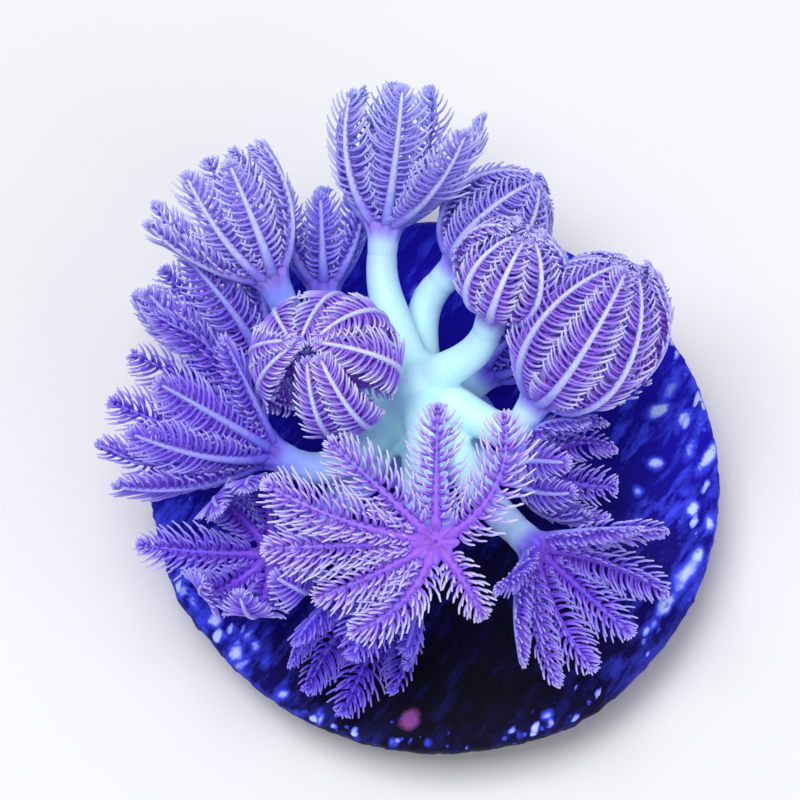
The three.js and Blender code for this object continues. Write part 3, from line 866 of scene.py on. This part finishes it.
class Nodes:
    """Short calls for building a material's node tree."""

    def __init__(self, name):
        self.material = bpy.data.materials.new(name)
        self.material.use_nodes = True
        self.tree = self.material.node_tree
        self.shader = self.tree.nodes["Principled BSDF"]

    def node(self, kind, **settings):
        node = self.tree.nodes.new(kind)
        for key, value in settings.items():
            setattr(node, key, value)
        return node

    def link(self, source, target):
        self.tree.links.new(source, target)

    def value(self, name):
        return self.node("ShaderNodeAttribute", attribute_name=name).outputs["Fac"]

    def position(self, scale=(1, 1, 1)):
        """Object coordinates in millimetres, stretched where a scale says so."""
        place = self.node("ShaderNodeTexCoord")
        mapping = self.node("ShaderNodeMapping")
        mapping.inputs["Scale"].default_value = [s / MM for s in scale]
        self.link(place.outputs["Object"], mapping.inputs["Vector"])
        return mapping.outputs["Vector"]

    def noise(self, vector, scale, detail=3, roughness=0.55, output="Fac"):
        node = self.node("ShaderNodeTexNoise")
        node.inputs["Scale"].default_value = scale
        node.inputs["Detail"].default_value = detail
        node.inputs["Roughness"].default_value = roughness
        self.link(vector, node.inputs["Vector"])
        return node.outputs[output]

    def slanted(self, vector, stretch, turn):
        """A vector for a texture that is stretched along y and then turned round z."""
        mapping = self.node("ShaderNodeMapping", vector_type="TEXTURE")
        mapping.inputs["Rotation"].default_value = (0, 0, math.radians(turn))
        mapping.inputs["Scale"].default_value = (1, stretch, 1)
        self.link(vector, mapping.inputs["Vector"])
        return mapping.outputs["Vector"]

    def spots(self, vector, scale):
        """The distance to the nearest random point, and a number of its own for each point."""
        node = self.node("ShaderNodeTexVoronoi")
        node.inputs["Scale"].default_value = scale
        self.link(vector, node.inputs["Vector"])
        channels = self.node("ShaderNodeSeparateColor")
        self.link(node.outputs["Color"], channels.inputs["Color"])
        return node.outputs["Distance"], channels.outputs["Red"]

    def ramp(self, factor, *stops):
        """Smooth numbers or colours between (place, value) stops."""
        node = self.node("ShaderNodeValToRGB")
        elements = node.color_ramp.elements
        while len(elements) < len(stops):
            elements.new(1.0)
        for element, (place, value) in zip(elements, stops):
            element.position = place
            colour = (value,) * 3 if np.isscalar(value) else value
            element.color = (*colour, 1.0)
        self.link(factor, node.inputs["Fac"])
        return node.outputs["Color"]

    def maths(self, operation, a, b=0.0, clamp=False):
        node = self.node("ShaderNodeMath", operation=operation, use_clamp=clamp)
        for socket, value in zip(node.inputs, (a, b)):
            if hasattr(value, "is_linked"):
                self.link(value, socket)
            else:
                socket.default_value = value
        return node.outputs[0]

    def add(self, a, b):
        return self.maths("ADD", a, b)

    def minus(self, a, b):
        return self.maths("SUBTRACT", a, b)

    def times(self, a, b):
        return self.maths("MULTIPLY", a, b)

    def over(self, a, b, clamp=False):
        return self.maths("DIVIDE", a, b, clamp)

    def mix(self, factor, a, b, blend="MIX"):
        node = self.node("ShaderNodeMix", data_type="RGBA", blend_type=blend)
        pairs = ((node.inputs[0], factor), (node.inputs[6], a), (node.inputs[7], b))
        for socket, value in pairs:
            if hasattr(value, "is_linked"):
                self.link(value, socket)
            elif np.isscalar(value):
                socket.default_value = value
            else:
                socket.default_value = (*value, 1.0)
        return node.outputs[2]

    def axes(self, vector):
        node = self.node("ShaderNodeSeparateXYZ")
        self.link(vector, node.inputs["Vector"])
        return node.outputs["X"], node.outputs["Y"], node.outputs["Z"]

    def distance(self, vector, point):
        node = self.node("ShaderNodeVectorMath", operation="DISTANCE")
        self.link(vector, node.inputs[0])
        node.inputs[1].default_value = point
        return node.outputs["Value"]

    def bump(self, height, distance, strength=1.0):
        node = self.node("ShaderNodeBump")
        node.inputs["Distance"].default_value = distance * MM
        node.inputs["Strength"].default_value = strength
        self.link(height, node.inputs["Height"])
        self.link(node.outputs["Normal"], self.shader.inputs["Normal"])

    def set(self, **values):
        for key, value in values.items():
            self.shader.inputs[key.replace("_", " ")].default_value = value


def linear(red, green, blue):
    """A display colour from 0 to 255 as the shader's linear colour."""
    def channel(value):
        value /= 255
        return value / 12.92 if value <= 0.04045 else ((value + 0.055) / 1.055) ** 2.4
    return tuple(channel(value) for value in (red, green, blue))


LIT_HUB_CYAN = linear(200, 252, 255)
PALE_CYAN = linear(184, 214, 252)
SHADE_BLUE = linear(96, 104, 246)
FOOT_BLUE = linear(136, 146, 255)
BACK_BLUE = linear(152, 170, 255)
LAVENDER = linear(158, 132, 252)
ROOT_VIOLET = linear(136, 84, 220)
PALE_LAVENDER = linear(206, 202, 255)
RIB_PALE = linear(200, 212, 255)
VIOLET = linear(136, 92, 236)
MAGENTA = linear(154, 74, 218)
DEEP_MAGENTA = linear(122, 50, 192)
# The dark blue that painted shade multiplies a crown's colour by
PAINTED_SHADE_TINT = linear(136, 110, 240)
DISC_BLUE = linear(26, 12, 186)
DISC_DEEP = linear(16, 5, 132)
DISC_INK = linear(10, 3, 52)
DISC_NAVY = linear(6, 2, 20)
DISC_GLINT = linear(188, 206, 255)
DISC_GLOW_HAZE = linear(66, 78, 250)
DISC_PINK = linear(150, 80, 160)

# The palest place of the flesh, the middle of its painted light, and how far from it the flesh is
# painted paler, in millimetres
HUB = (*TRUNK_AXIS, UPPER_FORK + 1)
HUB_GLOW_REACH = 11.0
# Painted shade makes the flesh bluer below this height over the deck, and left of this band's
# right edge
SHADE_HEIGHT = 9.0
SHADE_SIDE = 9.0
SHADE_WIDTH = 7.0
# Fingers are bluer the further back they stand: from this y, and fully so this much further on
BACK_FROM = 5.0
BACK_DEPTH = 22.0

# How much light goes through the flesh and how far, and how glossy each surface is
FLESH_SHADER = dict(Subsurface_Weight=0.4, Subsurface_Scale=0.6 * MM,
                    Subsurface_Radius=(0.7, 0.9, 1.0), Specular_IOR_Level=0.3)
CROWN_SHADER = dict(Subsurface_Weight=0.35, Subsurface_Scale=0.5 * MM,
                    Subsurface_Radius=(0.8, 0.7, 1.0), Specular_IOR_Level=0.3)
DISC_SHADER = dict(Specular_IOR_Level=0.1)


def flesh_colour(m):
    """Pale cyan in the middle of the colony, paler at the hub as painted light, and bluer low down and
    out on the left as painted shade.
    """
    place = m.position()
    x, _, z = m.axes(place)
    # Painted shade: bluer low down and on the left
    low = m.over(m.minus(z, DISC_THICKNESS), SHADE_HEIGHT, clamp=True)
    left = m.over(m.add(x, SHADE_SIDE), SHADE_WIDTH, clamp=True)
    cloud = m.times(m.minus(m.noise(place, 0.8, 4), 0.5), 0.7)
    level = m.add(m.times(low, m.add(left, 0.4)), cloud)
    far = m.over(m.distance(place, HUB), HUB_GLOW_REACH)
    colour = m.ramp(level, (0.05, SHADE_BLUE), (0.9, PALE_CYAN))
    # Painted light: paler towards the hub
    return m.mix(m.ramp(far, (0.25, 1.0), (0.8, 0.0)), colour, LIT_HUB_CYAN)


def flesh_material():
    """Smooth wet flesh of trunk and stems."""
    m = Nodes("coral_flesh")
    m.link(flesh_colour(m), m.shader.inputs["Base Color"])
    fine = m.noise(m.position((1, 1, 0.5)), 9.0, 5)
    m.link(m.ramp(fine, (0.3, 0.28), (0.7, 0.46)), m.shader.inputs["Roughness"])
    m.bump(fine, 0.05, 0.6)
    m.set(**FLESH_SHADER)
    return m.material


def crown_material():
    """Feathered arms: magenta-violet at the foot and front, lavender out to pale finger tips; the
    pale tips are partly painted light, the dark roots and inner rows partly painted shade.
    """
    m = Nodes("coral_crown")
    along, front, reach = m.value("along"), m.value("front"), m.value("reach")
    place = m.position()
    drift = m.times(m.minus(m.noise(place, 1.6, 4), 0.5), 0.6)
    out, up = m.add(reach, drift), m.add(along, drift)
    # Root to tip: partly own colour, partly painted shade at the roots and painted highlight at the
    # tips
    outer = m.ramp(out, (0.0, ROOT_VIOLET), (0.4, LAVENDER), (0.85, PALE_LAVENDER))
    # Inner rows: darker, partly own colour and partly painted shade inside the crown
    inner = m.ramp(out, (0.0, DEEP_MAGENTA), (0.4, MAGENTA), (0.9, LAVENDER))
    # A lit copy of the inner rows, painted light, mixed in by the crown's pale value
    lit = m.ramp(out, (0.0, MAGENTA), (0.35, LAVENDER), (0.9, PALE_LAVENDER))
    inner = m.mix(m.value("pale"), inner, lit)
    fingers = m.mix(m.times(front, 0.85), outer, inner)
    ridge_back = m.ramp(up, (0.0, FOOT_BLUE), (0.35, RIB_PALE))
    ridge_front = m.ramp(up, (0.0, MAGENTA), (0.55, VIOLET), (0.85, LAVENDER))
    ridge = m.mix(front, ridge_back, ridge_front)
    mottle = m.ramp(m.noise(place, 5.0, 4, 0.7), (0.45, 0.0), (0.65, 0.5))
    ridge = m.mix(mottle, ridge, LAVENDER)
    is_finger = m.ramp(reach, (0.0, 0.0), (0.12, 1.0))
    arm = m.mix(is_finger, ridge, fingers)
    foot = m.ramp(along, (0.0, 0.3), (0.25, 0.0))
    arm = m.mix(foot, arm, VIOLET)
    cup_edge = m.ramp(m.add(along, 1.0), (0.2, 0.0), (0.95, 1.0))
    cup = m.mix(cup_edge, flesh_colour(m), LAVENDER)
    cup = m.mix(front, cup, MAGENTA)
    on_cup = m.maths("LESS_THAN", along, -0.0001)
    colour = m.mix(on_cup, arm, cup)
    _, y, _ = m.axes(place)
    behind = m.over(m.minus(y, BACK_FROM), BACK_DEPTH, clamp=True)
    colour = m.mix(m.times(behind, is_finger), colour, BACK_BLUE)
    # Painted shade: each crown's colour multiplied towards dark blue by its own share, past the cup's
    # wall
    dark = m.mix(1.0, colour, PAINTED_SHADE_TINT, "MULTIPLY")
    colour = m.mix(m.times(m.value("shade"), cup_edge), colour, dark)
    m.link(colour, m.shader.inputs["Base Color"])
    fine = m.noise(place, 14.0, 3)
    m.link(m.ramp(fine, (0.3, 0.4), (0.7, 0.6)), m.shader.inputs["Roughness"])
    m.bump(fine, 0.02, 0.5)
    m.set(**CROWN_SHADER)
    return m.material


# The darkest place of the deck, the middle of its painted shadow, and how far from it the deck is
# bluest, in millimetres
DISC_SHADOW_MIDDLE = (1.0, -13.0, DISC_THICKNESS)
DISC_BLUEST_AT = 27.0
# Just past the crusts of the rim
RIM_REACH = 16.5
# Streaks, dashes and dots of painted light: how many to a millimetre, how long for their width,
# and their slant
STREAKS = dict(scale=1.5, stretch=4.0, turn=-35)
DASHES = dict(scale=1.6, stretch=2.2, turn=-22)
DOT_SCALE = 1.9
# The share of the dashes and dots that is left out
DASHES_MISSING = 0.4
DOTS_MISSING = 0.62
# How much wider the band of dashes is for each millimetre to the side
BAND_WIDENING = 0.08
WANDER = 0.16


def disc_ground(m, place, warped, rim):
    """Near black at the front under painted shadow and deep blue elsewhere, with paler streaks of
    painted light.
    """
    cloud = m.minus(m.noise(place, 0.25, 4), 0.5)
    # Painted shadow: near black by its middle, bluer further off
    far = m.over(m.distance(place, DISC_SHADOW_MIDDLE), DISC_BLUEST_AT)
    blue = m.add(far, m.times(cloud, 0.4))
    base = m.ramp(blue, (0.08, DISC_NAVY), (0.3, DISC_INK), (0.6, DISC_DEEP), (0.95, DISC_BLUE))
    streaked = m.slanted(warped, STREAKS["stretch"], STREAKS["turn"])
    streaks = m.noise(streaked, STREAKS["scale"], 5, 0.6)
    haze = m.ramp(m.add(streaks, m.times(rim, 0.1)), (0.54, 0.0), (0.7, 1.0))
    lit = m.ramp(blue, (0.15, 0.08), (0.6, 1.0))
    return m.mix(m.times(m.times(haze, lit), 0.75), base, DISC_GLOW_HAZE)


def add_glint(m, colour, level, hazy, pale):
    """A pale speck of painted light with a hazy edge, by the level at which each of the two begins and
    is full.
    """
    colour = m.mix(m.ramp(level, *hazy), colour, DISC_GLOW_HAZE)
    return m.mix(m.ramp(level, *pale), colour, DISC_GLINT)


def rim_band(m, radius, x, z):
    """1 on the deck by the rim, on a band that is wider to the sides, and 0 elsewhere."""
    deck = m.ramp(m.over(z, DISC_THICKNESS), (0.88, 0.0), (0.96, 1.0))
    outward = m.add(radius, m.times(m.maths("ABSOLUTE", x), BAND_WIDENING))
    return m.times(m.ramp(m.over(outward, RIM_REACH), (0.87, 0.0), (0.96, 1.0)), deck)


def disc_material():
    """Deep blue deck, near black at the front under painted shadow, with pale marks of painted glints
    and caustic light by the rim.
    """
    m = Nodes("disc_glaze")
    place = m.position()
    x, y, z = m.axes(place)
    radius = m.maths("SQRT", m.add(m.times(x, x), m.times(y, y)))
    rim = m.ramp(m.over(radius, RIM_REACH), (0.6, 0.0), (0.82, 0.5), (0.96, 1.0))
    wander = m.noise(place, 1.6, 4, 0.5, "Color")
    warped = m.mix(WANDER, place, wander, "LINEAR_LIGHT")
    colour = disc_ground(m, place, warped, rim)

    grain = m.times(m.minus(m.noise(place, 3.0, 5, 0.65), 0.5), 0.7)
    marks = m.times(m.value("mark"), m.add(grain, 1.0))
    colour = add_glint(m, colour, marks, ((0.1, 0.0), (0.4, 0.9)), ((0.38, 0.0), (0.72, 1.0)))
    pink = m.times(m.value("pink"), m.add(grain, 1.0))
    colour = m.mix(m.ramp(pink, (0.15, 0.0), (0.6, 0.8)), colour, DISC_PINK)

    # Dashes and dots of painted light by the rim
    slanted = m.slanted(warped, DASHES["stretch"], DASHES["turn"])
    distance, number = m.spots(slanted, DASHES["scale"])
    dash = m.times(m.minus(number, DASHES_MISSING), rim_band(m, radius, x, z))
    dash = m.minus(dash, distance)
    colour = add_glint(m, colour, dash, ((0.0, 0.0), (0.08, 0.8)), ((0.05, 0.0), (0.22, 0.95)))
    distance, number = m.spots(warped, DOT_SCALE)
    dot = m.minus(m.times(m.minus(number, DOTS_MISSING), rim), distance)
    colour = m.mix(m.ramp(dot, (0.0, 0.0), (0.1, 0.8)), colour, DISC_GLOW_HAZE)
    m.link(colour, m.shader.inputs["Base Color"])

    fine = m.noise(place, 5.0, 6, 0.7)
    m.link(m.ramp(fine, (0.3, 0.5), (0.7, 0.8)), m.shader.inputs["Roughness"])
    m.bump(m.add(fine, m.times(marks, 0.6)), 0.09, 0.8)
    m.set(**DISC_SHADER)
    return m.material


# Floor and light, in metres and watts

FLOOR_HALF = 1.2
FLOOR_GREY = (0.72, 0.72, 0.73, 1)
FLOOR_ROUGHNESS = 0.7
LIGHTS = dict(
    key=dict(direction=(-0.2, 0.0, 1.0), distance=0.45, size=0.24, power=1.75),
    fill=dict(direction=(0.9, -0.8, 0.8), distance=0.5, size=0.4, power=0.8),
)
STUDIO_COLOUR = (0.95, 0.96, 1.0, 1)
STUDIO_STRENGTH = 0.42


def floor_material():
    m = Nodes("floor_pale")
    m.set(Base_Color=FLOOR_GREY, Roughness=FLOOR_ROUGHNESS)
    return m.material


def add_floor():
    corners = [(x * FLOOR_HALF, y * FLOOR_HALF, 0) for x, y in ((-1, -1), (1, -1), (1, 1), (-1, 1))]
    mesh = bpy.data.meshes.new("floor")
    mesh.from_pydata(corners, [], [(0, 1, 2, 3)])
    mesh.materials.append(floor_material())
    floor = bpy.data.objects.new("floor", mesh)
    bpy.context.collection.objects.link(floor)


def add_light(name, direction, distance, size, power):
    """A square soft light that faces the colony."""
    data = bpy.data.lights.new(name, "AREA")
    data.size = size
    data.energy = power
    light = bpy.data.objects.new(name, data)
    way = unit(direction)
    light.location = way * distance
    light.rotation_euler = (
        math.acos(way[2]), 0, math.atan2(way[1], way[0]) + math.pi / 2)
    bpy.context.collection.objects.link(light)


def add_lights():
    for name, settings in LIGHTS.items():
        add_light(name, **settings)
    world = bpy.data.worlds.new("studio")
    world.use_nodes = True
    background = world.node_tree.nodes["Background"]
    background.inputs["Color"].default_value = STUDIO_COLOUR
    background.inputs["Strength"].default_value = STUDIO_STRENGTH
    bpy.context.scene.world = world


# Putting it together

add_camera()
add_lights()
add_floor()
bpy.context.scene.view_settings.view_transform = "Standard"

disc = make_disc(disc_material())
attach(disc, "root")
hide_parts("frag_disc")

skin = make_skin(flesh_material())
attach(skin, "root")
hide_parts("trunk", *[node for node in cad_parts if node.startswith("stem_")])

crown_finish = crown_material()
for number, (polyp_name, polyp) in enumerate(POLYPS.items()):
    crown_piece = make_crown(f"polyp_{polyp_name}", polyp, crown_finish,
                             FIRST_CROWN_SEED + number, CROWN_LOOKS[polyp_name])
    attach(crown_piece, "root")
    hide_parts(f"crown_{polyp_name}")
